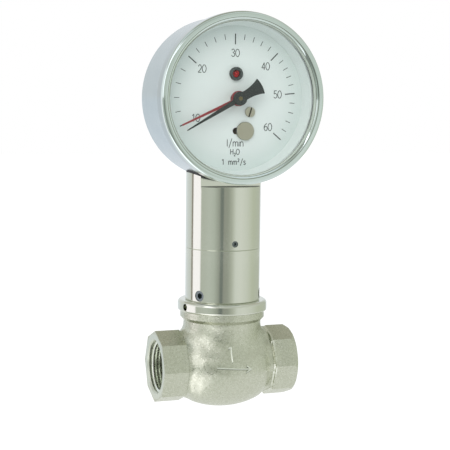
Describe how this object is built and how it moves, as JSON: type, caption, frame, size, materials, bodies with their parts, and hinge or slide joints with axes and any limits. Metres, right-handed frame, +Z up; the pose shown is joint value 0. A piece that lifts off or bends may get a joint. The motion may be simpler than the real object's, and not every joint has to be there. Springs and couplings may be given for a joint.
{
  "type": "in-line flow meter with dial gauge",
  "caption": "In-line piston flow meter: cast body with threaded ports, a column and a round dial gauge with pointer, set hand and switch lamp.",
  "frame": {"origin": "centre of the inlet port's mouth on the pipe axis", "axes": "+X along the flow from inlet to outlet, +Z up the column to the gauge, the dial looks towards -Y"},
  "size_m": [0.107, 0.0679, 0.2547],
  "materials": {
    "cast_metal": "sand-cast and nickel-plated",
    "turned_metal": "fine blasted",
    "screw_steel": "turned",
    "nickel": "matt nickel",
    "brass": "plain",
    "magnet": "dark",
    "black_rubber": "matt",
    "case_steel": "brushed stainless",
    "bezel_steel": "polished stainless",
    "clear_glass": "clear",
    "dial_white": "matt white with black print",
    "black_paint": "matt black",
    "red_paint": "matt red",
    "black_plastic": "moulded",
    "board": "circuit board",
    "red_lens": "clear red"
  },
  "bodies": {
    "housing": {"valve_body": "cast_metal", "seat_ring": "brass", "bonnet": "turned_metal", "guide_bush": "brass", "separating_tube": "screw_steel", "neck_seal": "black_rubber", "tube_seal": "black_rubber", "tube_ring_nut": "brass", "lower_column": "turned_metal", "upper_column": "turned_metal", "saddle_gasket": "black_rubber", "clamp_screws": "screw_steel", "seam_screws": "screw_steel", "gauge_case": "case_steel", "bezel_ring": "bezel_steel", "window_seal": "black_rubber", "window": "clear_glass", "spacer_ring": "dial_white", "dial": "dial_white", "back_plate": "brass", "front_plate": "brass", "rack_guide": "brass", "movement_feet": "brass", "movement_pillars": "brass", "plate_screws": "screw_steel", "case_screws": "screw_steel", "switch_board": "board", "board_posts": "brass", "lamp": "red_lens", "lamp_holder": "black_plastic", "gland_body": "black_plastic", "gland_cap": "black_plastic", "gland_insert": "black_rubber", "gland_nut": "black_plastic", "return_spring": "screw_steel"},
    "plunger": {"piston": "brass", "piston_rod": "screw_steel", "piston_nut": "screw_steel", "rod_magnet": "magnet", "magnet_nut": "screw_steel"},
    "follower": {"follower_cradle": "brass", "follower_magnet": "magnet", "rack": "brass"},
    "indicator": {"pointer": "black_paint", "pointer_arbor": "screw_steel", "arbor_pinion": "brass"},
    "set_hand": {"set_pointer": "red_paint", "set_sleeve": "brass", "set_gear": "brass"},
    "adjuster": {"adjuster_screw": "nickel", "adjuster_pinion": "brass"},
    "clamp": {"clamp_disc": "nickel", "clamp_stem": "screw_steel", "clamp_lever": "brass", "clamp_nut": "screw_steel"}
  },
  "joints": [
    {"name": "piston_slide", "type": "slide", "parent": "housing", "child": "plunger", "axis": [0, 0, 1], "range_m": [0, 0.0178], "stiffness_N_per_m": 150, "springref_m": -0.005, "deforming": ["return_spring"]},
    {"name": "follower_lift", "type": "slide", "parent": "housing", "child": "follower", "axis": [0, 0, 1], "range_m": [0, 0.0178]},
    {"name": "pointer_turn", "type": "hinge", "parent": "housing", "child": "indicator", "pos_m": [0.0458, 0, 0.17307], "axis": [0, 1, 0], "range_deg": [0, 255]},
    {"name": "set_hand_turn", "type": "hinge", "parent": "housing", "child": "set_hand", "pos_m": [0.0458, 0, 0.17307], "axis": [0, 1, 0], "range_deg": [-5, 244]},
    {"name": "adjuster_turn", "type": "hinge", "parent": "housing", "child": "adjuster", "pos_m": [0.05542, 0, 0.16471], "axis": [0, 1, 0], "range_deg": [-490, 12]},
    {"name": "clamp_slide", "type": "slide", "parent": "housing", "child": "clamp", "axis": [1, 0, 0], "range_m": [-0.006, 0]}
  ],
  "couplings": [
    {"joint": "follower_lift", "follows": "piston_slide", "ratio": 1},
    {"joint": "pointer_turn", "follows": "piston_slide", "rad_per_m": 250},
    {"joint": "adjuster_turn", "follows": "set_hand_turn", "ratio": -2}
  ]
}
